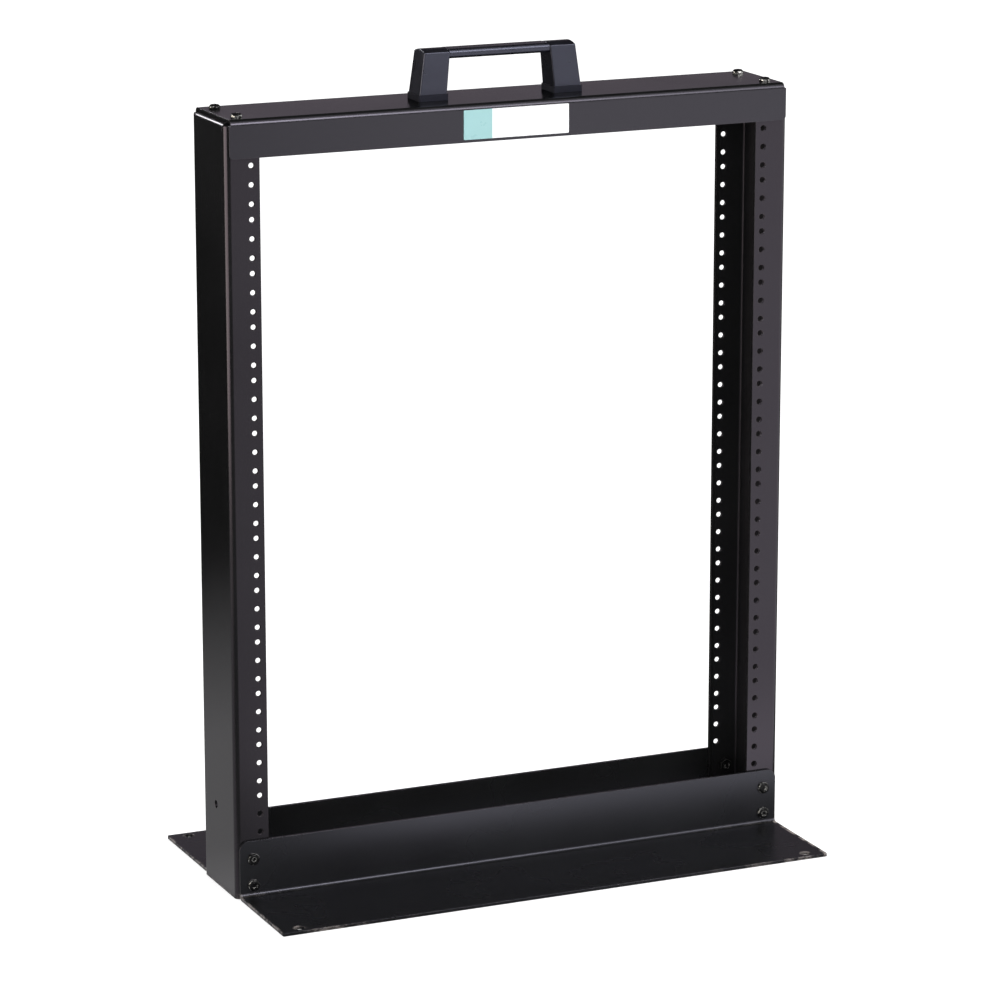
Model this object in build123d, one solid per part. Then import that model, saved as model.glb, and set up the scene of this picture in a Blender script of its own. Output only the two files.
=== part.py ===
from build123d import *
import os

# Open rack frame: two folded steel posts on two base angles, joined at the top by a channel
# with a carrying handle. All sizes are in millimetres.
# X runs across the rack, -Y is the front, +Z is up. The origin is on the floor at the middle.

# Rack spacing
RACK_UNIT = 44.45            # height of one mounting space
RACK_UNITS = 13              # mounting spaces between the base and the top channel
OPENING_WIDTH = 450.85       # clear width between the posts
RACK_HOLE = 5.5              # diameter of a rack hole
RACK_HOLE_EDGE = 7.125       # from the edge of a post's flange to the middle of its rack holes
HOLE_STEP = 15.875           # between the three holes of one space
HOLES_PER_UNIT = 3

# Posts
POST_DEPTH = 76.2            # outside depth of a post
FLANGE_WIDTH = 29.6          # from the outer face of a post to the edge of its flange
POST_SHEET = 2.66
POST_BEND = 2.0              # inside radius of a post's bends
WEB_HOLE = 7.0               # diameter of the ground screw hole in the web
WEB_HOLE_HEIGHT = 71.0
WEB_HOLE_OFFSET = 7.5        # behind the middle of the web
RELIEF = 2.0                 # width of the relief notches beside the folded tab

# Top channel
CHANNEL_SHEET = 2.66
CHANNEL_BEND = 2.0
CHANNEL_FLANGE = 31.75       # height of the channel's front and rear faces
CHANNEL_CORNER = 3.5         # radius of the lower corners of those faces
PLATE_SETBACK = 1.6          # the channel's top and its bends stop this far short of the faces' ends
SLIDE_FIT = 0.2              # between the channel's faces and the posts

# Base angles
BASE_SHEET = 2.66
BASE_BEND = 3.0
BASE_HEIGHT = 50.8           # height of the upright leg
BASE_REACH = 101.6           # from the face of the posts to the edge of the floor leg
BASE_CORNER = 8.0            # radius of the upper corners of the upright leg
FLOOR_CORNER = 1.5           # radius of the corners on the floor
END_SETBACK = 2.6            # the base angles and the channel stop this far inside the posts' outer faces
FLOOR_HOLE = 8.5
FLOOR_HOLE_END = 17.4        # from the end of a base angle to the middle of its floor hole
FLOOR_HOLE_EDGE = 8.1        # from the edge of the floor leg to the middle of the hole

# Bolts and nuts
BASE_BOLT_EDGE = 14.6        # from a post's outer face to its bolts
BASE_BOLT_HEIGHTS = {"lower": 12.0, "upper": 35.0}
BASE_SHANK = 6.0
BASE_HEAD = 10.5
BASE_HEAD_HEIGHT = 3.3
BASE_SOCKET = 4.0            # across the flats
BASE_NUT = 10.0              # across the flats
BASE_NUT_HEIGHT = 5.0
TOP_BOLT_EDGE = 15.0
TOP_BOLT_INSET = 13.1        # from the front or rear face of a post to its top bolts
TOP_SHANK = 5.0
TOP_HEAD = 9.5
TOP_HEAD_HEIGHT = 3.5
TOP_SOCKET = 3.0
TOP_NUT = 8.0
TOP_NUT_HEIGHT = 4.0
BOLT_CLEARANCE = 0.6         # a bolt hole is this much wider than its bolt
NUT_CLEARANCE = 0.2          # a nut's bore is this much wider than its bolt
THREAD_PROUD = 1.5           # a bolt shows this far past its nut
HEAD_ROUNDING = 0.75         # share of a head's height that is rounded off
SOCKET_DEPTH = 0.6           # share of a head's height

# Carrying handle
FOOT_HEIGHT = 5.3
FOOT_LIP = 0.8               # the foot shows this far round the leg
FOOT_ROUNDING = 1.0
LEG_HEIGHT = 37.0
LEG_WIDTH_LOW = 24.6
LEG_WIDTH_HIGH = 23.1
LEG_DEPTH_LOW = 24.5
LEG_DEPTH_HIGH = 22.5
LEG_SPACING_LOW = 122.2      # from the middle of one leg to the other at the foot
LEG_SPACING_HIGH = 113.5     # and at the top
LEG_CROWN = 2.4              # the top of a leg is this much lower at its front and rear
LEG_ROUNDING = 1.0
GRIP_HEIGHT = 8.0
GRIP_DEPTH = 20.0
GRIP_ROUNDING = 3.4
GRIP_DROP = 0.6              # from the top of the legs to the top of the grip
HANDLE_SCREW = 5.0
HANDLE_SCREW_DEPTH = 18.0    # length of screw inside the foot and the leg
HANDLE_SCREW_HEAD = 9.5
HANDLE_SCREW_HEAD_HEIGHT = 3.5

# Label on the front of the channel
LABEL_WIDTH = 95.2
LABEL_HEIGHT = 24.6
LABEL_THICKNESS = 0.6
LABEL_CORNER = 0.8
LABEL_OFFSET = 1.0           # to the right of the middle

# Sizes that follow
WIDTH = OPENING_WIDTH + 2 * FLANGE_WIDTH
HEIGHT = BASE_HEIGHT + RACK_UNITS * RACK_UNIT + CHANNEL_FLANGE
POST_FACE = POST_DEPTH / 2
POST_TOP = HEIGHT - CHANNEL_SHEET
POST_OUTER_BEND = POST_BEND + POST_SHEET
CHANNEL_FACE = POST_FACE + SLIDE_FIT + CHANNEL_SHEET
CHANNEL_OUTER_BEND = CHANNEL_BEND + CHANNEL_SHEET
BAR_LENGTH = WIDTH - 2 * END_SETBACK
HOLE_MARGIN = (RACK_UNIT - (HOLES_PER_UNIT - 1) * HOLE_STEP) / 2
BASE_FACE = POST_FACE + BASE_SHEET
BASE_EDGE = POST_FACE + BASE_REACH
RACK_HOLE_X = OPENING_WIDTH / 2 + RACK_HOLE_EDGE
BASE_BOLT_X = WIDTH / 2 - BASE_BOLT_EDGE
TOP_BOLT_X = WIDTH / 2 - TOP_BOLT_EDGE
TOP_BOLT_Y = POST_FACE - TOP_BOLT_INSET
FLOOR_HOLE_X = BAR_LENGTH / 2 - FLOOR_HOLE_END
FLOOR_HOLE_Y = BASE_EDGE - FLOOR_HOLE_EDGE
HANDLE_SCREW_X = LEG_SPACING_LOW / 2
TAB_HALF = POST_FACE - max(POST_OUTER_BEND, CHANNEL_BEND) - RELIEF
NOTCH_BOTTOM = POST_TOP - POST_OUTER_BEND - RELIEF
FLANGE_TOP = POST_TOP - CHANNEL_BEND - RELIEF / 4
LEG_BOTTOM = HEIGHT + FOOT_HEIGHT
LEG_TOP = LEG_BOTTOM + LEG_HEIGHT

SIDES = {"left": -1, "right": 1}
ENDS = {"front": -1, "rear": 1}
ALONG_X = (1, 0, 0)
ALONG_Y = (0, 1, 0)
ALONG_Z = (0, 0, 1)
STANDING = (Align.CENTER, Align.CENTER, Align.MIN)
HANGING = (Align.CENTER, Align.CENTER, Align.MAX)


def folded_sheet(plane, corners, sheet, bend, length):
    """Sheet folded along outside corners in a plane, with the sheet on their left, extruded from there."""
    outside = FilletPolyline(*corners, radius=bend + sheet)
    section = make_face(offset(outside, sheet, side=Side.LEFT))
    return extrude(plane * section, length)


def drills(direction, places, diameter, length):
    """Round cutters centred on the given places, all in one direction."""
    return [Plane(place, z_dir=direction) * Cylinder(diameter / 2, length) for place in places]


def rack_hole_heights():
    """Heights of one column of rack holes: three in each mounting space."""
    return [
        BASE_HEIGHT + unit * RACK_UNIT + HOLE_MARGIN + step * HOLE_STEP
        for unit in range(RACK_UNITS)
        for step in range(HOLES_PER_UNIT)
    ]


def left_post():
    """Folded post: its web is outside and its flanges point inwards."""
    corners = [
        (-OPENING_WIDTH / 2, POST_FACE),
        (-WIDTH / 2, POST_FACE),
        (-WIDTH / 2, -POST_FACE),
        (-OPENING_WIDTH / 2, -POST_FACE),
    ]
    post = folded_sheet(Plane.XY, corners, POST_SHEET, POST_BEND, FLANGE_TOP)
    notch = Box(2 * POST_SHEET, 2 * (TAB_HALF + RELIEF), FLANGE_TOP - NOTCH_BOTTOM, align=STANDING)
    post -= Pos(-WIDTH / 2, 0, NOTCH_BOTTOM) * notch
    post += web_tab()
    rack_places = [(-RACK_HOLE_X, 0, z) for z in rack_hole_heights()]
    base_places = [(-BASE_BOLT_X, 0, z) for z in BASE_BOLT_HEIGHTS.values()]
    top_places = [(-TOP_BOLT_X, end * TOP_BOLT_Y, POST_TOP) for end in ENDS.values()]
    cutters = drills(ALONG_Y, rack_places, RACK_HOLE, 2 * POST_DEPTH)
    cutters += drills(ALONG_Y, base_places, BASE_SHANK + BOLT_CLEARANCE, 2 * POST_DEPTH)
    cutters += drills(ALONG_Z, top_places, TOP_SHANK + BOLT_CLEARANCE, 4 * POST_SHEET)
    cutters += drills(ALONG_X, [(-WIDTH / 2, WEB_HOLE_OFFSET, WEB_HOLE_HEIGHT)], WEB_HOLE, 4 * POST_SHEET)
    return post - cutters


def web_tab():
    """Top of the left post's web, folded inwards to lie under the channel."""
    corners = [
        (-OPENING_WIDTH / 2, POST_TOP),
        (-WIDTH / 2, POST_TOP),
        (-WIDTH / 2, NOTCH_BOTTOM),
    ]
    return folded_sheet(Plane.XZ.offset(-TAB_HALF), corners, POST_SHEET, POST_BEND, 2 * TAB_HALF)


def top_channel():
    """Channel over both posts: its faces hang outside the flanges and reach past its top at both ends."""
    lower = HEIGHT - CHANNEL_FLANGE
    corners = [
        (CHANNEL_FACE, lower),
        (CHANNEL_FACE, HEIGHT),
        (-CHANNEL_FACE, HEIGHT),
        (-CHANNEL_FACE, lower),
    ]
    bar = folded_sheet(Plane.YZ.offset(-BAR_LENGTH / 2), corners, CHANNEL_SHEET, CHANNEL_BEND, BAR_LENGTH)
    bar = fillet(bar.edges().filter_by(Axis.Y).group_by(Axis.Z)[0], CHANNEL_CORNER)
    bolt_places = [
        (side * TOP_BOLT_X, end * TOP_BOLT_Y, HEIGHT)
        for side in SIDES.values()
        for end in ENDS.values()
    ]
    handle_places = [(side * HANDLE_SCREW_X, 0, HEIGHT) for side in SIDES.values()]
    cutters = drills(ALONG_Z, bolt_places, TOP_SHANK + BOLT_CLEARANCE, 4 * CHANNEL_SHEET)
    cutters += drills(ALONG_Z, handle_places, HANDLE_SCREW + BOLT_CLEARANCE, 4 * CHANNEL_SHEET)
    end_cut = Box(2 * PLATE_SETBACK, 4 * CHANNEL_FACE, 2 * CHANNEL_OUTER_BEND)
    cutters += [Pos(side * BAR_LENGTH / 2, 0, HEIGHT) * end_cut for side in SIDES.values()]
    return bar - cutters


def front_base_angle():
    """Angle across the front of both posts: one leg upright, one on the floor."""
    corners = [
        (-BASE_EDGE, 0),
        (-POST_FACE, 0),
        (-POST_FACE, BASE_HEIGHT),
    ]
    bar = folded_sheet(Plane.YZ.offset(-BAR_LENGTH / 2), corners, BASE_SHEET, BASE_BEND, BAR_LENGTH)
    bar = fillet(bar.edges().filter_by(Axis.Y).group_by(Axis.Z)[-1], BASE_CORNER)
    bar = fillet(bar.edges().filter_by(Axis.Z).group_by(Axis.Y)[0], FLOOR_CORNER)
    bolt_places = [
        (side * BASE_BOLT_X, -POST_FACE, z)
        for side in SIDES.values()
        for z in BASE_BOLT_HEIGHTS.values()
    ]
    floor_places = [(side * FLOOR_HOLE_X, -FLOOR_HOLE_Y, 0) for side in SIDES.values()]
    cutters = drills(ALONG_Y, bolt_places, BASE_SHANK + BOLT_CLEARANCE, 4 * BASE_SHEET)
    cutters += drills(ALONG_Z, floor_places, FLOOR_HOLE, 4 * BASE_SHEET)
    return bar - cutters


def bolt(shank, grip, head, head_height, socket):
    """Button head bolt along Z: its head sits on the XY plane and its shank hangs below."""
    body = Cylinder(head / 2, head_height, align=STANDING)
    rim = body.faces().sort_by(Axis.Z)[-1].edges()
    body = fillet(rim, HEAD_ROUNDING * head_height)
    key = RegularPolygon(socket / 2, 6, major_radius=False)
    depth = SOCKET_DEPTH * head_height
    body -= Pos(0, 0, head_height - depth) * extrude(key, depth)
    body += Cylinder(shank / 2, grip, align=HANGING)
    return body


def nut(shank, across, height):
    """Hexagon nut along Z that hangs below the XY plane."""
    outline = RegularPolygon(across / 2, 6, major_radius=False) - Circle((shank + NUT_CLEARANCE) / 2)
    return Pos(0, 0, -height) * extrude(outline, height)


def base_fasteners():
    """Bolts through the base angles and the posts' flanges, with nuts inside the posts."""
    stack = BASE_SHEET + POST_SHEET
    grip = stack + BASE_NUT_HEIGHT + THREAD_PROUD
    pieces = {}
    for end, face in ENDS.items():
        for side, across in SIDES.items():
            for level, height in BASE_BOLT_HEIGHTS.items():
                place = Plane((across * BASE_BOLT_X, face * BASE_FACE, height), z_dir=(0, face, 0))
                screw = bolt(BASE_SHANK, grip, BASE_HEAD, BASE_HEAD_HEIGHT, BASE_SOCKET)
                holder = Pos(0, 0, -stack) * nut(BASE_SHANK, BASE_NUT, BASE_NUT_HEIGHT)
                pieces[f"base_bolt_{end}_{side}_{level}"] = place * screw
                pieces[f"base_nut_{end}_{side}_{level}"] = place * holder
    return pieces


def top_fasteners():
    """Bolts through the channel and the posts' tabs, with nuts under the tabs."""
    stack = CHANNEL_SHEET + POST_SHEET
    grip = stack + TOP_NUT_HEIGHT + THREAD_PROUD
    pieces = {}
    for end, face in ENDS.items():
        for side, across in SIDES.items():
            place = Pos(across * TOP_BOLT_X, face * TOP_BOLT_Y, HEIGHT)
            screw = bolt(TOP_SHANK, grip, TOP_HEAD, TOP_HEAD_HEIGHT, TOP_SOCKET)
            holder = Pos(0, 0, -stack) * nut(TOP_SHANK, TOP_NUT, TOP_NUT_HEIGHT)
            pieces[f"top_bolt_{end}_{side}"] = place * screw
            pieces[f"top_nut_{end}_{side}"] = place * holder
    return pieces


def handle_bore():
    """Cutter for the screw that holds the right foot and leg, from the channel up."""
    depth = FOOT_HEIGHT + HANDLE_SCREW_DEPTH
    bore = Cylinder((HANDLE_SCREW + NUT_CLEARANCE) / 2, depth, align=STANDING)
    return Pos(HANDLE_SCREW_X, 0, HEIGHT) * bore


def handle_foot():
    """Pad under the right leg of the handle."""
    width = LEG_WIDTH_LOW + 2 * FOOT_LIP
    depth = LEG_DEPTH_LOW + 2 * FOOT_LIP
    foot = extrude(RectangleRounded(width, depth, FOOT_ROUNDING), FOOT_HEIGHT)
    return Pos(LEG_SPACING_LOW / 2, 0, HEIGHT) * foot - handle_bore()


def leg_faces(height):
    """Distances from the middle of the rack to the inner and outer face of a leg, at a height on it."""
    share = (height - LEG_BOTTOM) / LEG_HEIGHT
    middle = (LEG_SPACING_LOW + share * (LEG_SPACING_HIGH - LEG_SPACING_LOW)) / 2
    half = (LEG_WIDTH_LOW + share * (LEG_WIDTH_HIGH - LEG_WIDTH_LOW)) / 2
    return middle - half, middle + half


def handle_leg():
    """Right leg of the handle: it leans inwards, narrows to the top and has a crowned top."""
    low_inner, low_outer = leg_faces(LEG_BOTTOM)
    high_inner, high_outer = leg_faces(LEG_TOP)
    front_view = Polygon(
        (low_inner, LEG_BOTTOM),
        (low_outer, LEG_BOTTOM),
        (high_outer, LEG_TOP),
        (high_inner, LEG_TOP),
        align=None,
    )
    shoulder = LEG_TOP - LEG_CROWN
    base = Polyline(
        (-LEG_DEPTH_HIGH / 2, shoulder),
        (-LEG_DEPTH_LOW / 2, LEG_BOTTOM),
        (LEG_DEPTH_LOW / 2, LEG_BOTTOM),
        (LEG_DEPTH_HIGH / 2, shoulder),
    )
    crown = ThreePointArc((LEG_DEPTH_HIGH / 2, shoulder), (0, LEG_TOP), (-LEG_DEPTH_HIGH / 2, shoulder))
    side_view = make_face(base + crown)
    leg = extrude(Plane.XZ * front_view, LEG_DEPTH_LOW, both=True)
    leg &= extrude(Plane.YZ * side_view, LEG_SPACING_LOW)
    raised = leg.edges().filter_by(lambda edge: edge.center().Z > LEG_BOTTOM + LEG_ROUNDING)
    return fillet(raised, LEG_ROUNDING) - handle_bore()


def handle_grip():
    """Bar between the legs, with rounded long edges and ends that follow the lean of the legs."""
    top = LEG_TOP - GRIP_DROP
    bottom = top - GRIP_HEIGHT
    low = leg_faces(bottom)[0]
    high = leg_faces(top)[0]
    front_view = Polygon((-low, bottom), (low, bottom), (high, top), (-high, top), align=None)
    side_view = Pos(0, (top + bottom) / 2) * RectangleRounded(GRIP_DEPTH, GRIP_HEIGHT, GRIP_ROUNDING)
    bar = extrude(Plane.XZ * front_view, GRIP_DEPTH, both=True)
    return bar & extrude(Plane.YZ * side_view, LEG_SPACING_LOW, both=True)


def handle_screw():
    """Screw from under the channel up into the right leg."""
    grip = CHANNEL_SHEET + FOOT_HEIGHT + HANDLE_SCREW_DEPTH - THREAD_PROUD
    screw = bolt(HANDLE_SCREW, grip, HANDLE_SCREW_HEAD, HANDLE_SCREW_HEAD_HEIGHT, TOP_SOCKET)
    return Plane((HANDLE_SCREW_X, 0, HEIGHT - CHANNEL_SHEET), z_dir=(0, 0, -1)) * screw


def label_plate():
    """Bare plate stuck to the flat of the channel's front face."""
    plate = extrude(RectangleRounded(LABEL_WIDTH, LABEL_HEIGHT, LABEL_CORNER), LABEL_THICKNESS)
    middle = HEIGHT - CHANNEL_OUTER_BEND - LABEL_HEIGHT / 2
    return Plane((LABEL_OFFSET, -CHANNEL_FACE, middle), x_dir=ALONG_X, z_dir=(0, -1, 0)) * plate


def all_pieces():
    """Every piece of the rack under its own name."""
    pieces = {
        "left_post": left_post(),
        "top_channel": top_channel(),
        "front_base_angle": front_base_angle(),
        "handle_right_foot": handle_foot(),
        "handle_right_leg": handle_leg(),
        "handle_right_screw": handle_screw(),
        "handle_grip": handle_grip(),
        "label_plate": label_plate(),
    }
    pieces["right_post"] = mirror(pieces["left_post"], Plane.YZ)
    pieces["rear_base_angle"] = mirror(pieces["front_base_angle"], Plane.XZ)
    for name in ("foot", "leg", "screw"):
        pieces[f"handle_left_{name}"] = mirror(pieces[f"handle_right_{name}"], Plane.YZ)
    pieces.update(base_fasteners())
    pieces.update(top_fasteners())
    return pieces


def write_parts():
    os.makedirs("parts", exist_ok=True)
    for name, piece in all_pieces().items():
        export_step(piece, f"parts/{name}.step")


write_parts()
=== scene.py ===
# Looks of a two post open frame rack: table top height, black painted steel, plastic carrying handle.
# Lengths are in metres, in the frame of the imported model.
import math

import bmesh
import bpy
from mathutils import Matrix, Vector


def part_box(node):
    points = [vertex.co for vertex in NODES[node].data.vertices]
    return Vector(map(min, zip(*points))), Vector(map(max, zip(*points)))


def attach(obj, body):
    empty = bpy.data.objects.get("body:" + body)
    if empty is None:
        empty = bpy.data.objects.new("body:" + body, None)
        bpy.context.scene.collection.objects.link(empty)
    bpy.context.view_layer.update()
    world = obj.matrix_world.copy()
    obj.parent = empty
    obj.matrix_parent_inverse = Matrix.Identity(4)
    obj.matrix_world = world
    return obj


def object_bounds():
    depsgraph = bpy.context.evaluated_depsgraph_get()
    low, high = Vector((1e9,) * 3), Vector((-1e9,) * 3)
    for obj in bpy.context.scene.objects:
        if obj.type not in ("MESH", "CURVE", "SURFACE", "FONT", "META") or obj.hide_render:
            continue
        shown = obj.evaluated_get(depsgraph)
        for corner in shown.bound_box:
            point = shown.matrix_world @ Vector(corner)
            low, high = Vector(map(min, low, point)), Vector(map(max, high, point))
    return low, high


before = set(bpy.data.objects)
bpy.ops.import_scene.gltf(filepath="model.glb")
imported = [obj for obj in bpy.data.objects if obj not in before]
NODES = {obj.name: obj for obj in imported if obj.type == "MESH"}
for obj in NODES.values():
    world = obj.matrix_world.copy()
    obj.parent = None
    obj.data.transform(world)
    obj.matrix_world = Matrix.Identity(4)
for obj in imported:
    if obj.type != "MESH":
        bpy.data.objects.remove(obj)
CAD_LOW, CAD_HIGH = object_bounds()
WHITE = (1.0, 1.0, 1.0)

# Camera, fitted to the corners of the rack in the photograph
CAMERA_AZIMUTH = math.radians(24.09)
CAMERA_ELEVATION = math.radians(13.99)
CAMERA_DISTANCE = 3.732
CAMERA_TARGET = Vector((0.0044, -0.0001, 0.3112))
CAMERA_LENS = 157.3
CAMERA_SENSOR = 36.0

# Rack holes and sheet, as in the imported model
RACK_UNIT = 0.04445
RACK_UNITS = 13
HOLE_STEP = 0.015875
HOLES_PER_UNIT = 3
RACK_HOLE = 0.0055
RACK_HOLE_EDGE = 0.007125
POST_SHEET = 0.00266

# Thread of the rack holes
THREAD_MINOR = 0.0044
THREAD_PITCH = 0.001058
THREAD_SEGMENTS = 20         # in one turn
THREAD_TAPER = 5             # segments over which the ridge rises and falls at its ends
THREAD_END_HEIGHT = 0.05     # height of the ridge's ends, as a share of its full height
THREAD_FOOT = 0.45           # from the crest to the foot of the ridge, as a share of the pitch

# Floor. The camera sees it white; reflections see painted light on it: a painted pool of light at the front
# right, painted gloom at the left, painted shadow under the rack and dark at the far back. Spans are places
# between which it changes, across (X) or along (Y).
FLOOR_HALF = 40.0
FLOOR_DROP = 0.0003          # it lies this far below the base, so that the two don't share a face
FLOOR_ALBEDO = 0.80
FLOOR_GLOW = 0.58            # added where the camera sees it
FLOOR_IN_FRONT = 0.78        # what reflections see, here and below
FLOOR_BEHIND = 0.455
FLOOR_BRIGHT_SIDE = 0.72     # added on the bright side, in front
FLOOR_NEAR = 1.25            # added close in front instead, where that is more
FLOOR_GLOOM = 0.1            # share that is left in the gloom at the left
FLOOR_SHADOW_UNDER = 0.1            # share that is left in the painted shadow under the rack and behind it
FLOOR_FAR = 0.018            # share that is left at the far back
FRONT_ALONG = (-0.1, 0.1)
NEAR_ALONG = (-0.6, -0.3)
NEAR_ACROSS = (-0.14, 0.0)
GLOOM_ALONG = (-0.2, 0.0)
SHADOW_UNDER_ALONG = (-0.16, -0.15)
SHADOW_UNDER_ACROSS = (-0.26, -0.24)
FAR_ALONG = (0.41, 1.01)
BRIGHT_EDGE = 0.10           # X where the bright side starts, its lean along Y and its softness
BRIGHT_SLOPE = 0.30
BRIGHT_BLUR = 0.15
GLOOM_EDGE = -0.225          # the same for the end of the gloom at the left
GLOOM_SLOPE = 0.15
GLOOM_BLUR = 0.08

# Cards that only first reflections see: the axis a card faces, its place on that axis, its span on each
# of the other two axes, how bright it is, and its tint
CARDS = {
    "back_card": ("Y", 3.0, (0.2, 5.0), (0.0, 1.75), 0.195, (1.0, 0.87, 1.02)),
    "high_card": ("Y", 3.0, (0.2, 5.0), (1.75, 3.0), 0.015, WHITE),
    "dark_card": ("Y", 3.0, (-5.0, 0.2), (0.0, 3.0), 0.04, WHITE),
    "top_card": ("Z", 3.0, (-5.0, 5.0), (-0.6, 3.0), 0.015, WHITE),
    "side_card": ("X", -1.8, (-1.1, 1.1), (0.0, 1.2), 3.7, (1.08, 1.00, 0.87)),
    "rim_card": ("Y", 2.3, (-1.4, -0.8), (1.22, 1.65), 14.0, WHITE),
    "front_card": ("Y", -2.3, (0.5, 1.05), (1.2, 2.6), 9.0, WHITE),
    "low_card": ("Y", 2.94, (1.45, 5.0), (0.0, 0.85), 0.015, WHITE),
    "low_front_card": ("Y", -3.9, (-5.0, 5.0), (0.5, 1.7), 0.05, WHITE),
}

# Soft boxes: place, the point each faces, width and height, and radiance. The fill box isn't reflected.
AMBIENT = 0.80               # light of the white surroundings, beside the soft boxes
KEY_BOX = ((0.9, -2.4, 1.9), (0, 0, 0.4), (1.8, 1.4), 3.6)
FILL_BOX = ((-2.0, -3.2, 0.9), (0.2, 0, 0.4), (1.2, 1.4), 9.0)

# Patterns: scale, detail and roughness of a noise texture
PAINT_CLOUD = (9.0, 3.0, 0.55)
PAINT_GRAIN = (900.0, 2.0, 0.55)
PAINT_PEEL = (520.0, 2.0, 0.4)
WEAR_AND_SHEEN_PATCHES = (60.0, 4.0, 0.6)
SCUFF_GLINT_PATCHES = (75.0, 5.0, 0.7)
PLASTIC_CLOUD = (40.0, 3.0, 0.55)
PLASTIC_SPARK = (2600.0, 2.0, 0.55)
FOOT_CLOUD = (120.0, 3.0, 0.55)
FOOT_SPARK = (1800.0, 2.0, 0.55)
LABEL_CLOUD = (90.0, 3.0, 0.55)
LABEL_GRAIN = (700.0, 2.0, 0.55)
BOLT_CLOUD = (700.0, 4.0, 0.55)
BOLT_PATCHES = (420.0, 3.0, 0.55)
ZINC_CLOUD = (500.0, 4.0, 0.55)
COLOUR_SPREAD = (0.35, 0.65)     # a pattern turns from the dark to the light colour between these values
ROUGH_SPREAD = (0.3, 0.7)        # and from the lower to the higher roughness between these
WEAR_AND_SHEEN_SPREAD = (0.42, 0.62)       # patches of edge wear and painted sheen start and are full at these values, and so on below
SCUFF_GLINT_SPREAD = (0.46, 0.56)
BOLT_SPREAD = (0.50, 0.57)

# Edge masks for wear, painted sheen and painted highlights: width, and the cosines of the surface's turn
# between which they fade out
BEVEL_SAMPLES = 4
SCUFF_GLINT_WIDTH = 0.003
PAINT_EDGE = (0.0006, 0.80, 0.97)
SCUFF_GLINT_EDGE = (SCUFF_GLINT_WIDTH, 0.90, 0.99)
PLASTIC_EDGE = (0.0005, 0.80, 0.98)
NUT_EDGE = (0.0004, 0.82, 0.97)

# Relief: depth and strength of a bump, and how far edges look rounded
PEEL_DEPTH = 0.00012
PEEL_STRENGTH = 0.09
BASE_PEEL_STRENGTH = 0.045
GRAIN_RELIEF = (0.00004, 0.07)
PLASTIC_RELIEF = (0.00006, 0.35)
FOOT_RELIEF = (0.00008, 0.4)
LABEL_RELIEF = (0.00002, 0.2)
METAL_RELIEF = (0.00003, 0.3)
PAINT_ROUNDING = 0.0005
PLASTIC_ROUNDING = 0.0004
SMALL_ROUNDING = 0.0003

# Powder coat
PAINT_DARK = (0.0060, 0.0062, 0.0062)
PAINT_LIGHT = (0.0084, 0.0087, 0.0087)
# edge colour: partly wear, partly a painted sheen along the sheet edges
PAINT_WEAR_AND_SHEEN = (0.085, 0.074, 0.076)
# light patches near the floor: partly scuffs, partly painted glints on the sheet edges
SCUFF_AND_GLINT_COLOUR = (0.36, 0.32, 0.30)
CLOUD_SHARE = 0.75           # of the change in tone; the rest is grain
WEAR_AND_SHEEN_AMOUNT = (0.25, 1.0)    # least and most wear and painted sheen along an edge
SCUFF_GLINT_TOP = 0.006            # scuffs and painted glints stay below this height, near the floor
SCUFF_GLINT_END = 0.004            # scuffs and painted glints are closest together this near the right end of the base
SCUFF_GLINT_MORE = 0.06            # added to their pattern there
FACING_UP = (0.8, 0.9)       # upward part of the normal, from a side to a top
STRIP_BLUR = 0.2             # share of the width of the scuffs and glints over which they start
POST_TINT = (0.935, 0.80, 1.0, 1.0)    # of the highlights, which look slightly violet
BAR_TINT = (0.883, 0.82, 1.0, 1.0)
BASE_TINT = (0.83, 0.82, 1.0, 1.0)
POST_SPECULAR = 0.44
BAR_SPECULAR = 0.55
PAINT_ROUGH = (0.17, 0.22)
BASE_ROUGH = (0.24, 0.30)
HOLLOW_ROUGH = 0.17          # added inside the posts, where the coat is thin and dull
HOLLOW_BLUR = 0.1            # softness of that change in the sheet, as a share of half its thickness

# Bolts, nuts and screws; the rings of worn metal and painted glint are given as shares of a bolt's width,
# from its axis
BOLT_DARK = (0.0030, 0.0030, 0.0032)
BOLT_LIGHT = (0.0070, 0.0070, 0.0072)
# bright metal of the worn rims and painted glints on the bolt heads, also of the painted sheen on nut edges
BOLT_GLINT_METAL = (0.66, 0.65, 0.63)
BOLT_SPECULAR = 0.14
BOLT_ROUGH = (0.16, 0.26)
NUT_ROUGH = (0.34, 0.46)
NUT_SHINE = 0.25             # share of full metal in the painted sheen along a nut's edges
HEAD_RIM = (0.44, 0.48)
SOCKET_INSIDE = (0.16, 0.19)
SOCKET_OUTSIDE = (0.22, 0.26)
ZINC_DARK = (0.42, 0.43, 0.44)
ZINC_LIGHT = (0.62, 0.62, 0.61)
ZINC_ROUGH = (0.26, 0.42)

# Handle
PLASTIC_DARK = (0.0072, 0.0070, 0.0102)
PLASTIC_LIGHT = (0.0110, 0.0108, 0.0150)
PLASTIC_HIGHLIGHT = (0.16, 0.16, 0.20)
PLASTIC_TINT = (0.74, 0.76, 1.0, 1.0)
PLASTIC_SPECULAR = 0.82
PLASTIC_ROUGH = (0.26, 0.33)
CROWN_SHINE = 0.008          # the painted highlight along the edges is brightest this close below the top of the handle
CROWN_HIGHLIGHT = (0.08, 0.7)      # least and most painted highlight
FOOT_DARK = (0.0045, 0.0045, 0.0070)
FOOT_LIGHT = (0.0070, 0.0070, 0.0105)
FOOT_SPECULAR = 0.35
FOOT_ROUGH = (0.46, 0.58)

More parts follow.
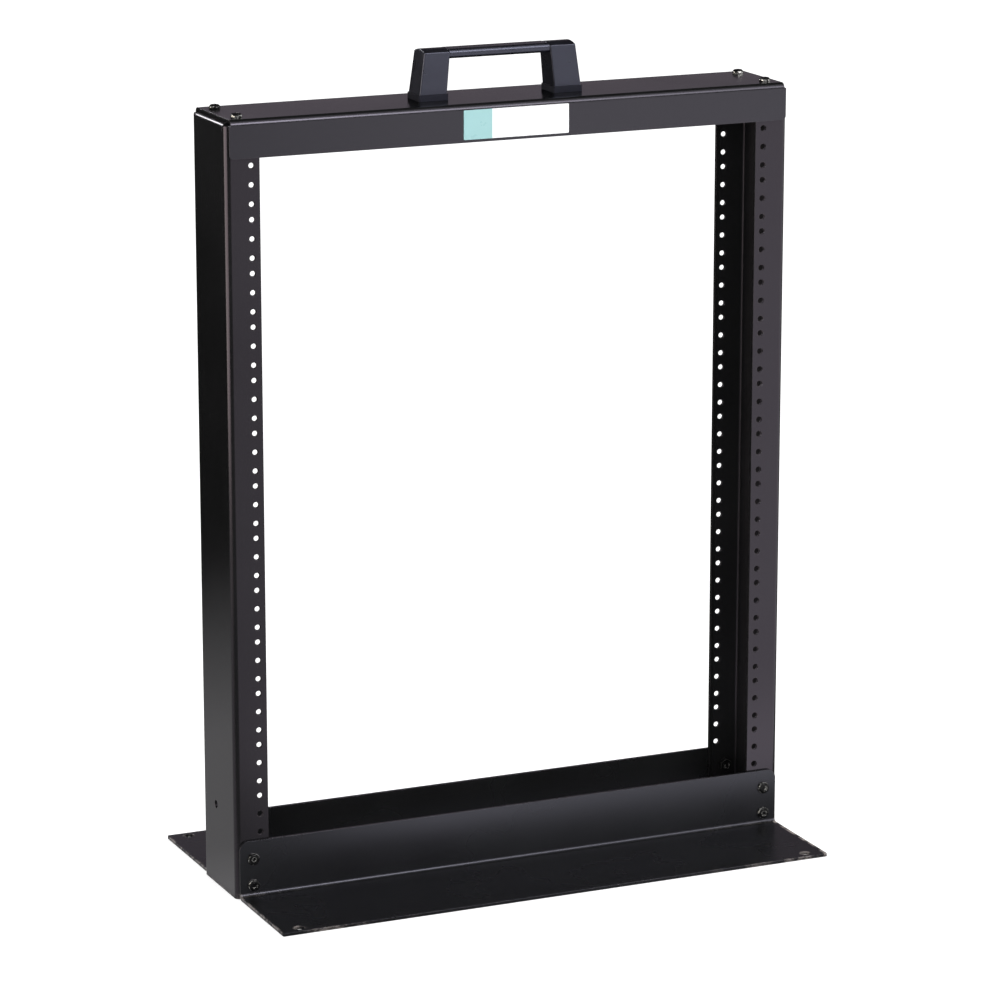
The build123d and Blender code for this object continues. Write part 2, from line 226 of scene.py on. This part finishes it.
# Label
LABEL_TEAL = (0.31, 0.53, 0.54)
LABEL_WHITE = (0.91, 0.92, 0.92)
LABEL_TEAL_SHADE = 0.94      # the darker of its two tones, as a share
LABEL_WHITE_SHADE = 0.97
LABEL_SQUARE = 0.0256        # width of the teal square
LABEL_BLUR = 0.0001          # half the width of the change from teal to white
LABEL_ROUGH = (0.26, 0.34)


def new_material(name):
    """A material, its node tree and its main shader."""
    material = bpy.data.materials.new(name)
    material.use_nodes = True
    tree = material.node_tree
    return material, tree, tree.nodes["Principled BSDF"]


def add(tree, kind, **values):
    """A new node; values whose name is an input socket are set there, the others on the node."""
    made = tree.nodes.new(kind)
    for name, value in values.items():
        if name in made.inputs:
            made.inputs[name].default_value = value
        else:
            setattr(made, name, value)
    return made


def object_place(tree):
    """Where a point lies in its piece's own coordinates."""
    return add(tree, "ShaderNodeTexCoord").outputs["Object"]


def axes(tree, vector):
    """The X, Y and Z of a vector."""
    split = add(tree, "ShaderNodeSeparateXYZ")
    tree.links.new(vector, split.inputs["Vector"])
    return [split.outputs[axis] for axis in "XYZ"]


def noise(tree, where, scale, detail, rough):
    """A noise pattern, from 0 to 1."""
    made = add(tree, "ShaderNodeTexNoise", Scale=scale, Detail=detail, Roughness=rough)
    tree.links.new(where, made.inputs["Vector"])
    return made.outputs["Fac"]


def mapped(tree, source, low, high, to_low, to_high):
    """A value from to_low to to_high, as the source runs from low to high; it stays there outside them."""
    made = add(tree, "ShaderNodeMapRange")
    made.inputs["From Min"].default_value = low
    made.inputs["From Max"].default_value = high
    made.inputs["To Min"].default_value = to_low
    made.inputs["To Max"].default_value = to_high
    tree.links.new(source, made.inputs["Value"])
    return made.outputs["Result"]


def rising(tree, source, low, high):
    """0 below low and 1 above high."""
    return mapped(tree, source, low, high, 0.0, 1.0)


def falling(tree, source, low, high):
    """1 below low and 0 above high."""
    return mapped(tree, source, low, high, 1.0, 0.0)


def math_node(tree, operation, first, second=0.0):
    """One operation on two values, each a number or a socket."""
    made = add(tree, "ShaderNodeMath", operation=operation)
    for socket, value in zip(made.inputs, (first, second)):
        if isinstance(value, (int, float)):
            socket.default_value = value
        else:
            tree.links.new(value, socket)
    return made.outputs["Value"]


def product(tree, first, *others):
    """All values multiplied, from the left."""
    for other in others:
        first = math_node(tree, "MULTIPLY", first, other)
    return first


def blended(tree, factor, first, second):
    """A colour from the first at factor 0 to the second at factor 1."""
    made = add(tree, "ShaderNodeMix", data_type="RGBA")
    tree.links.new(factor, made.inputs["Factor"])
    colour_sockets = [socket for socket in made.inputs if socket.type == "RGBA"]
    for socket, value in zip(colour_sockets, (first, second)):
        if isinstance(value, tuple):
            socket.default_value = (*value, 1.0)
        else:
            tree.links.new(value, socket)
    return next(socket for socket in made.outputs if socket.type == "RGBA")


def edge_mask(tree, radius, low, high):
    """1 on edges sharper than the radius, 0 on flats."""
    rounded = add(tree, "ShaderNodeBevel", Radius=radius, samples=BEVEL_SAMPLES)
    flat = add(tree, "ShaderNodeNewGeometry")
    dot = add(tree, "ShaderNodeVectorMath", operation="DOT_PRODUCT")
    tree.links.new(rounded.outputs["Normal"], dot.inputs[0])
    tree.links.new(flat.outputs["Normal"], dot.inputs[1])
    return falling(tree, dot.outputs["Value"], low, high)


def relief(tree, bsdf, heights, edge_radius):
    """Stacks bumps, given as (height socket, depth, strength), on edges rounded by the radius."""
    rounded = add(tree, "ShaderNodeBevel", Radius=edge_radius, samples=BEVEL_SAMPLES)
    normal = rounded.outputs["Normal"]
    for height, depth, strength in heights:
        bump = add(tree, "ShaderNodeBump", Distance=depth, Strength=strength)
        tree.links.new(height, bump.inputs["Height"])
        tree.links.new(normal, bump.inputs["Normal"])
        normal = bump.outputs["Normal"]
    tree.links.new(normal, bsdf.inputs["Normal"])


def toned(tree, pattern, dark, light):
    """A colour that follows a pattern from dark to light."""
    return blended(tree, rising(tree, pattern, *COLOUR_SPREAD), dark, light)


def roughness(tree, pattern, limits):
    """A roughness that follows a pattern between two limits."""
    return mapped(tree, pattern, *ROUGH_SPREAD, *limits)


def surface(tree, bsdf, colour, rough, specular=None, tint=None):
    """Gives the main shader its colour, roughness and, where stated, its highlight."""
    tree.links.new(colour, bsdf.inputs["Base Color"])
    tree.links.new(rough, bsdf.inputs["Roughness"])
    if specular is not None:
        bsdf.inputs["Specular IOR Level"].default_value = specular
    if tint is not None:
        bsdf.inputs["Specular Tint"].default_value = tint


def scuffs_and_glints(tree, place):
    """Light bare-metal patches along the edges near the floor, towards the rack's outer ends: partly scuffs,
    partly painted glints.
    """
    x, _, z = axes(tree, place)
    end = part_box("front_base_angle")[1].x
    outer = rising(tree, math_node(tree, "ABSOLUTE", x), CAD_HIGH.x / 2, CAD_HIGH.x)
    low = falling(tree, z, SCUFF_GLINT_TOP / 2, SCUFF_GLINT_TOP)
    upward = axes(tree, add(tree, "ShaderNodeNewGeometry").outputs["Normal"])[2]
    upper = rising(tree, upward, *FACING_UP)
    strip = rising(tree, x, end - SCUFF_GLINT_WIDTH, end - (1.0 - STRIP_BLUR) * SCUFF_GLINT_WIDTH)
    edge = math_node(tree, "MAXIMUM", edge_mask(tree, *SCUFF_GLINT_EDGE), product(tree, upper, strip))
    closer = mapped(tree, x, end - SCUFF_GLINT_END, end - SCUFF_GLINT_END / 2, 0.0, SCUFF_GLINT_MORE)
    patches = math_node(tree, "ADD", noise(tree, place, *SCUFF_GLINT_PATCHES), closer)
    return product(tree, outer, low, rising(tree, patches, *SCUFF_GLINT_SPREAD), edge)


def hollow_of_posts(tree, place):
    """1 inside the folded posts and 0 elsewhere."""
    low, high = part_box("right_post")
    x, y, _ = axes(tree, place)
    across = math_node(tree, "ABSOLUTE", x)
    along = math_node(tree, "ABSOLUTE", y)
    half = POST_SHEET / 2
    blur = HOLLOW_BLUR * half
    inner = rising(tree, across, low.x + POST_SHEET, low.x + POST_SHEET + half)
    outer = falling(tree, across, high.x - half - blur, high.x - half + blur)
    between = falling(tree, along, high.y - half - blur, high.y - half + blur)
    return product(tree, inner, outer, between)


def frame_paint(name, specular, tint, rough=PAINT_ROUGH, peel_strength=PEEL_STRENGTH, hollow_rough=0.0):
    """Satin black powder coat: fine orange peel, slow change of tone, greyed along sheet edges by wear and a
    painted sheen, with scuffs and painted glints near the floor.
    """
    material, tree, bsdf = new_material(name)
    place = object_place(tree)
    cloud = noise(tree, place, *PAINT_CLOUD)
    grain = noise(tree, place, *PAINT_GRAIN)
    peel = noise(tree, place, *PAINT_PEEL)
    slow = product(tree, cloud, CLOUD_SHARE)
    fine = product(tree, grain, 1.0 - CLOUD_SHARE)
    colour = toned(tree, math_node(tree, "ADD", slow, fine), PAINT_DARK, PAINT_LIGHT)
    # painted sheen: the sheet edges turn lighter grey in patches, partly as wear
    patchy = mapped(tree, noise(tree, place, *WEAR_AND_SHEEN_PATCHES), *WEAR_AND_SHEEN_SPREAD, *WEAR_AND_SHEEN_AMOUNT)
    colour = blended(tree, product(tree, edge_mask(tree, *PAINT_EDGE), patchy), colour, PAINT_WEAR_AND_SHEEN)
    # painted glints and scuffs: light bare-metal patches on edges near the floor
    colour = blended(tree, scuffs_and_glints(tree, place), colour, SCUFF_AND_GLINT_COLOUR)
    dull = product(tree, hollow_of_posts(tree, place), hollow_rough)
    dull = math_node(tree, "ADD", roughness(tree, cloud, rough), dull)
    surface(tree, bsdf, colour, dull, specular, tint)
    relief(tree, bsdf, [(peel, PEEL_DEPTH, peel_strength), (grain, *GRAIN_RELIEF)], PAINT_ROUNDING)
    return material


def handle_plastic():
    """Moulded grey-black plastic with a fine spark texture, and a painted highlight along its upper edges.
    """
    material, tree, bsdf = new_material("moulded_grip_plastic")
    place = object_place(tree)
    cloud = noise(tree, place, *PLASTIC_CLOUD)
    spark = noise(tree, place, *PLASTIC_SPARK)
    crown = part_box("handle_left_leg")[1].z
    high = mapped(tree, axes(tree, place)[2], crown - CROWN_SHINE, crown, *CROWN_HIGHLIGHT)
    # painted highlight: lighter plastic along the edges near the top of the handle
    painted_highlight = product(tree, edge_mask(tree, *PLASTIC_EDGE), high)
    colour = blended(tree, painted_highlight, toned(tree, cloud, PLASTIC_DARK, PLASTIC_LIGHT), PLASTIC_HIGHLIGHT)
    rough = roughness(tree, cloud, PLASTIC_ROUGH)
    surface(tree, bsdf, colour, rough, PLASTIC_SPECULAR, PLASTIC_TINT)
    relief(tree, bsdf, [(spark, *PLASTIC_RELIEF)], PLASTIC_ROUNDING)
    return material


def handle_foot():
    """Darker moulded plastic of the handle's feet."""
    material, tree, bsdf = new_material("moulded_foot_plastic")
    place = object_place(tree)
    cloud = noise(tree, place, *FOOT_CLOUD)
    spark = noise(tree, place, *FOOT_SPARK)
    colour = toned(tree, cloud, FOOT_DARK, FOOT_LIGHT)
    surface(tree, bsdf, colour, roughness(tree, cloud, FOOT_ROUGH), FOOT_SPECULAR, PLASTIC_TINT)
    relief(tree, bsdf, [(spark, *FOOT_RELIEF)], SMALL_ROUNDING)
    return material


def label_film():
    """Bare two-colour label: a teal square at the left end, the rest white."""
    material, tree, bsdf = new_material("bare_two_colour_label")
    place = object_place(tree)
    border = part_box("label_plate")[0].x + LABEL_SQUARE
    side = rising(tree, axes(tree, place)[0], border - LABEL_BLUR, border + LABEL_BLUR)
    cloud = noise(tree, place, *LABEL_CLOUD)
    teal = blended(tree, cloud, tuple(LABEL_TEAL_SHADE * c for c in LABEL_TEAL), LABEL_TEAL)
    white = blended(tree, cloud, tuple(LABEL_WHITE_SHADE * c for c in LABEL_WHITE), LABEL_WHITE)
    surface(tree, bsdf, blended(tree, side, teal, white), roughness(tree, cloud, LABEL_ROUGH))
    relief(tree, bsdf, [(noise(tree, place, *LABEL_GRAIN), *LABEL_RELIEF)], SMALL_ROUNDING)
    return material


def from_axis(tree, second):
    """Distance from a bolt's axis as a share of its box's width; X and the second axis lie across it."""
    split = axes(tree, add(tree, "ShaderNodeTexCoord").outputs["Generated"])
    offsets = [math_node(tree, "SUBTRACT", split["XYZ".index(axis)], 0.5) for axis in ("X", second)]
    squares = [product(tree, offset, offset) for offset in offsets]
    return math_node(tree, "SQRT", math_node(tree, "ADD", *squares))


def black_bolt(name, second):
    """Black oxide steel, with bright metal in patches on the rim of the head and around its socket: partly
    handled wear, partly painted glints.
    """
    material, tree, bsdf = new_material(name)
    place = object_place(tree)
    cloud = noise(tree, place, *BOLT_CLOUD)
    patchy = rising(tree, noise(tree, place, *BOLT_PATCHES), *BOLT_SPREAD)
    distance = from_axis(tree, second)
    # painted glints: bright metal rings on the head's rim and around its socket, in patches
    inside = rising(tree, distance, *SOCKET_INSIDE)
    socket = product(tree, inside, falling(tree, distance, *SOCKET_OUTSIDE))
    rim = math_node(tree, "MAXIMUM", socket, rising(tree, distance, *HEAD_RIM))
    rim = product(tree, rim, patchy)
    colour = blended(tree, rim, toned(tree, cloud, BOLT_DARK, BOLT_LIGHT), BOLT_GLINT_METAL)
    tree.links.new(rim, bsdf.inputs["Metallic"])
    surface(tree, bsdf, colour, roughness(tree, cloud, BOLT_ROUGH), BOLT_SPECULAR)
    relief(tree, bsdf, [(cloud, *METAL_RELIEF)], SMALL_ROUNDING)
    return material


def black_nut():
    """Black oxide steel for the nuts inside the posts, plain apart from a painted sheen along their edges.
    """
    material, tree, bsdf = new_material("black_oxide_nut")
    cloud = noise(tree, object_place(tree), *BOLT_CLOUD)
    # painted sheen: bright metal along the nut's edges
    shine = product(tree, edge_mask(tree, *NUT_EDGE), NUT_SHINE)
    colour = blended(tree, shine, toned(tree, cloud, BOLT_DARK, BOLT_LIGHT), BOLT_GLINT_METAL)
    tree.links.new(shine, bsdf.inputs["Metallic"])
    surface(tree, bsdf, colour, roughness(tree, cloud, NUT_ROUGH), BOLT_SPECULAR)
    relief(tree, bsdf, [(cloud, *METAL_RELIEF)], SMALL_ROUNDING)
    return material


def zinc_screw():
    """Zinc plated steel, slightly clouded."""
    material, tree, bsdf = new_material("zinc_plated_steel")
    cloud = noise(tree, object_place(tree), *ZINC_CLOUD)
    bsdf.inputs["Metallic"].default_value = 1.0
    surface(tree, bsdf, toned(tree, cloud, ZINC_DARK, ZINC_LIGHT), roughness(tree, cloud, ZINC_ROUGH))
    relief(tree, bsdf, [(cloud, *METAL_RELIEF)], SMALL_ROUNDING)
    return material


def dress_nodes():
    """Each CAD node keeps its shape and takes the finish of its material slot, or a special one by name."""
    post_paint = frame_paint("post_satin_black_coat", POST_SPECULAR, POST_TINT, hollow_rough=HOLLOW_ROUGH)
    finish = {
        "frame_paint": frame_paint("bar_satin_black_coat", BAR_SPECULAR, BAR_TINT),
        "handle_plastic": handle_plastic(),
        "handle_foot": handle_foot(),
        "label": label_film(),
        "black_bolt": black_bolt("lower_bolt_black_steel", "Z"),
        "zinc_screw": zinc_screw(),
    }
    special = {
        "post": post_paint,
        "base_angle": frame_paint(
            "base_satin_black_coat", BAR_SPECULAR, BASE_TINT, BASE_ROUGH, BASE_PEEL_STRENGTH
        ),
        "nut": black_nut(),
        "top_bolt": black_bolt("upper_bolt_black_steel", "Y"),
    }
    for name, node in NODES.items():
        for place in node.material_slots:
            place.material = finish[place.material.name]
        for words, material in special.items():
            if words in name:
                node.material_slots[0].material = material
    return post_paint


def thread_ridge(mesh, centre):
    """Adds the helical ridge of one rack hole, along Y from the hole's centre on the sheet's nearer face."""
    count = round((POST_SHEET / THREAD_PITCH - 1.0) * THREAD_SEGMENTS)
    bore = RACK_HOLE / 2
    ridge = THREAD_MINOR / 2 - bore
    foot = THREAD_FOOT * THREAD_PITCH
    rings = []
    for step in range(count + 1):
        angle = 2.0 * math.pi * step / THREAD_SEGMENTS
        taper = min(1.0, step / THREAD_TAPER, (count - step) / THREAD_TAPER)
        crest = bore + ridge * max(taper, THREAD_END_HEIGHT)
        along = THREAD_PITCH * (0.5 + step / THREAD_SEGMENTS)
        corners = [(bore, along - foot), (crest, along), (bore, along + foot)]
        ring = [
            mesh.verts.new(Vector(centre) + Vector((r * math.cos(angle), y, r * math.sin(angle))))
            for r, y in corners
        ]
        rings.append(ring)
    for first, second in zip(rings, rings[1:]):
        for corner in range(len(first)):
            following = (corner + 1) % len(first)
            mesh.faces.new((first[corner], first[following], second[following], second[corner]))
    mesh.faces.new(rings[0][::-1])
    mesh.faces.new(rings[-1])


def rack_hole_threads(paint):
    """Threads tapped in the rack holes of both posts, front and rear."""
    low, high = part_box("left_post")
    base_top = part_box("front_base_angle")[1].z
    margin = (RACK_UNIT - (HOLES_PER_UNIT - 1) * HOLE_STEP) / 2
    mesh = bmesh.new()
    for side in (-1, 1):
        across = side * (abs(high.x) + RACK_HOLE_EDGE)
        for face in (low.y, high.y - POST_SHEET):
            for unit in range(RACK_UNITS):
                for step in range(HOLES_PER_UNIT):
                    height = base_top + unit * RACK_UNIT + margin + step * HOLE_STEP
                    thread_ridge(mesh, (across, face, height))
    add_piece("rack_hole_threads", mesh, paint)


def add_piece(name, mesh, material):
    """A visible piece made here: it rides on the rack's one body."""
    bmesh.ops.recalc_face_normals(mesh, faces=mesh.faces)
    data = bpy.data.meshes.new(name)
    mesh.to_mesh(data)
    mesh.free()
    data.materials.append(material)
    piece = bpy.data.objects.new(name, data)
    bpy.context.scene.collection.objects.link(piece)
    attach(piece, "root")


def make_camera():
    """The photograph's viewpoint, without lens shift, so that other views keep the rack in the frame."""
    data = bpy.data.cameras.new("camera")
    data.lens = CAMERA_LENS
    data.sensor_width = CAMERA_SENSOR
    camera = bpy.data.objects.new("camera", data)
    flat = math.cos(CAMERA_ELEVATION)
    back = Vector(
        (-math.sin(CAMERA_AZIMUTH) * flat, -math.cos(CAMERA_AZIMUTH) * flat, math.sin(CAMERA_ELEVATION))
    )
    camera.location = CAMERA_TARGET + CAMERA_DISTANCE * back
    camera.rotation_mode = "QUATERNION"
    camera.rotation_quaternion = (-back).to_track_quat("-Z", "Y")
    bpy.context.scene.collection.objects.link(camera)
    bpy.context.scene.camera = camera


def stage_sheet(name, axis, place, first, second):
    """A staged rectangle that faces an axis, with its spans on the other two; it isn't part of the rack."""
    at = "XYZ".index(axis)
    flat = [(first[0], second[0]), (first[1], second[0]), (first[1], second[1]), (first[0], second[1])]
    mesh = bpy.data.meshes.new(name)
    mesh.from_pydata([(*corner[:at], place, *corner[at:]) for corner in flat], [], [(0, 1, 2, 3)])
    sheet = bpy.data.objects.new(name, mesh)
    bpy.context.scene.collection.objects.link(sheet)
    return sheet


def sloped_side(tree, across, along, slope, edge, blur):
    """0 on the left of a line over the floor and 1 on its right; the line crosses Y = 0 at the edge."""
    lean = math_node(tree, "ADD", product(tree, along, slope), across)
    return rising(tree, lean, edge - blur, edge + blur)


def reflected_floor(tree):
    """How bright reflections see the floor, by place on it: a painted pool of light in front, painted gloom
    at the left and painted shadow under the rack.
    """
    across, along, _ = axes(tree, add(tree, "ShaderNodeNewGeometry").outputs["Position"])
    front = falling(tree, along, *FRONT_ALONG)
    bright = sloped_side(tree, across, along, BRIGHT_SLOPE, BRIGHT_EDGE, BRIGHT_BLUR)
    bright = product(tree, bright, front, FLOOR_BRIGHT_SIDE)
    near = rising(tree, along, *NEAR_ALONG)
    near = product(tree, front, near, rising(tree, across, *NEAR_ACROSS), FLOOR_NEAR)
    base = mapped(tree, along, *FRONT_ALONG, FLOOR_IN_FRONT, FLOOR_BEHIND)
    lit = math_node(tree, "ADD", math_node(tree, "MAXIMUM", bright, near), base)
    clear = sloped_side(tree, across, along, GLOOM_SLOPE, GLOOM_EDGE, GLOOM_BLUR)
    gloom = math_node(tree, "MAXIMUM", clear, mapped(tree, along, *GLOOM_ALONG, FLOOR_GLOOM, 1.0))
    # painted shadow under the rack and behind it, seen only in reflections
    under = product(tree, rising(tree, along, *SHADOW_UNDER_ALONG), rising(tree, across, *SHADOW_UNDER_ACROSS))
    under = mapped(tree, under, 0.0, 1.0, 1.0, FLOOR_SHADOW_UNDER)
    far = mapped(tree, along, *FAR_ALONG, 1.0, FLOOR_FAR)
    return product(tree, lit, gloom, under, far)


def make_floor():
    """A pale floor that keeps the shadow, and that reflections see with a painted lit side and a painted
    unlit side.
    """
    span = (-FLOOR_HALF, FLOOR_HALF)
    floor = stage_sheet("floor", "Z", 0.0, span, span)
    floor.location.z = -FLOOR_DROP
    material, tree, bsdf = new_material("pale_floor")
    bsdf.inputs["Base Color"].default_value = (FLOOR_ALBEDO, FLOOR_ALBEDO, FLOOR_ALBEDO, 1.0)
    bsdf.inputs["Roughness"].default_value = 1.0
    bsdf.inputs["Specular IOR Level"].default_value = 0.0
    path = add(tree, "ShaderNodeLightPath")
    seen = product(tree, path.outputs["Is Camera Ray"], FLOOR_GLOW)
    glow = add(tree, "ShaderNodeEmission")
    tree.links.new(seen, glow.inputs["Strength"])
    lit = add(tree, "ShaderNodeAddShader")
    tree.links.new(bsdf.outputs["BSDF"], lit.inputs[0])
    tree.links.new(glow.outputs["Emission"], lit.inputs[1])
    mirrored = add(tree, "ShaderNodeEmission")
    tree.links.new(reflected_floor(tree), mirrored.inputs["Strength"])
    either = add(tree, "ShaderNodeMixShader")
    tree.links.new(path.outputs["Is Glossy Ray"], either.inputs["Fac"])
    tree.links.new(lit.outputs["Shader"], either.inputs[1])
    tree.links.new(mirrored.outputs["Emission"], either.inputs[2])
    tree.links.new(either.outputs["Shader"], tree.nodes["Material Output"].inputs["Surface"])
    floor.data.materials.append(material)


def reflector(name, axis, place, first, second, strength, tint):
    """A studio card that only first reflections see: a reflection of a reflection finds it dark."""
    card = stage_sheet(name, axis, place, first, second)
    material, tree, _ = new_material(name)
    bounces = add(tree, "ShaderNodeLightPath").outputs["Ray Depth"]
    glow = add(tree, "ShaderNodeEmission", Color=(*tint, 1.0))
    tree.links.new(mapped(tree, bounces, 1.0, 2.0, strength, 0.0), glow.inputs["Strength"])
    tree.links.new(glow.outputs["Emission"], tree.nodes["Material Output"].inputs["Surface"])
    card.data.materials.append(material)
    card.visible_camera = False
    card.visible_diffuse = False
    card.visible_shadow = False
    card.visible_transmission = False


def make_cards():
    """All the cards that reflections see."""
    for name, facts in CARDS.items():
        reflector(name, *facts)


def make_world():
    """White to the camera and in reflections, softer as a light."""
    world = bpy.data.worlds.new("studio")
    world.use_nodes = True
    bpy.context.scene.world = world
    tree = world.node_tree
    ground = tree.nodes["Background"]
    ground.inputs["Color"].default_value = (*WHITE, 1.0)
    path = add(tree, "ShaderNodeLightPath")
    seen = math_node(tree, "MAXIMUM", path.outputs["Is Camera Ray"], path.outputs["Is Glossy Ray"])
    seen = math_node(tree, "MAXIMUM", seen, path.outputs["Is Transmission Ray"])
    tree.links.new(mapped(tree, seen, 0.0, 1.0, AMBIENT, 1.0), ground.inputs["Strength"])


def soft_box(name, centre, target, size, radiance):
    """A rectangular lamp that the camera doesn't see."""
    width, height = size
    data = bpy.data.lights.new(name, "AREA")
    data.shape = "RECTANGLE"
    data.size = width
    data.size_y = height
    data.energy = radiance * math.pi * width * height
    lamp = bpy.data.objects.new(name, data)
    lamp.location = centre
    lamp.rotation_mode = "QUATERNION"
    lamp.rotation_quaternion = (Vector(target) - Vector(centre)).to_track_quat("-Z", "Y")
    lamp.visible_camera = False
    bpy.context.scene.collection.objects.link(lamp)
    return lamp


def make_lamps():
    """The key light, and a fill light that no reflection sees."""
    soft_box("key_box", *KEY_BOX)
    fill = soft_box("fill_box", *FILL_BOX)
    fill.visible_glossy = False


bpy.context.scene.view_settings.view_transform = "Standard"
make_camera()
make_floor()
make_cards()
make_world()
make_lamps()
post_paint = dress_nodes()
rack_hole_threads(post_paint)
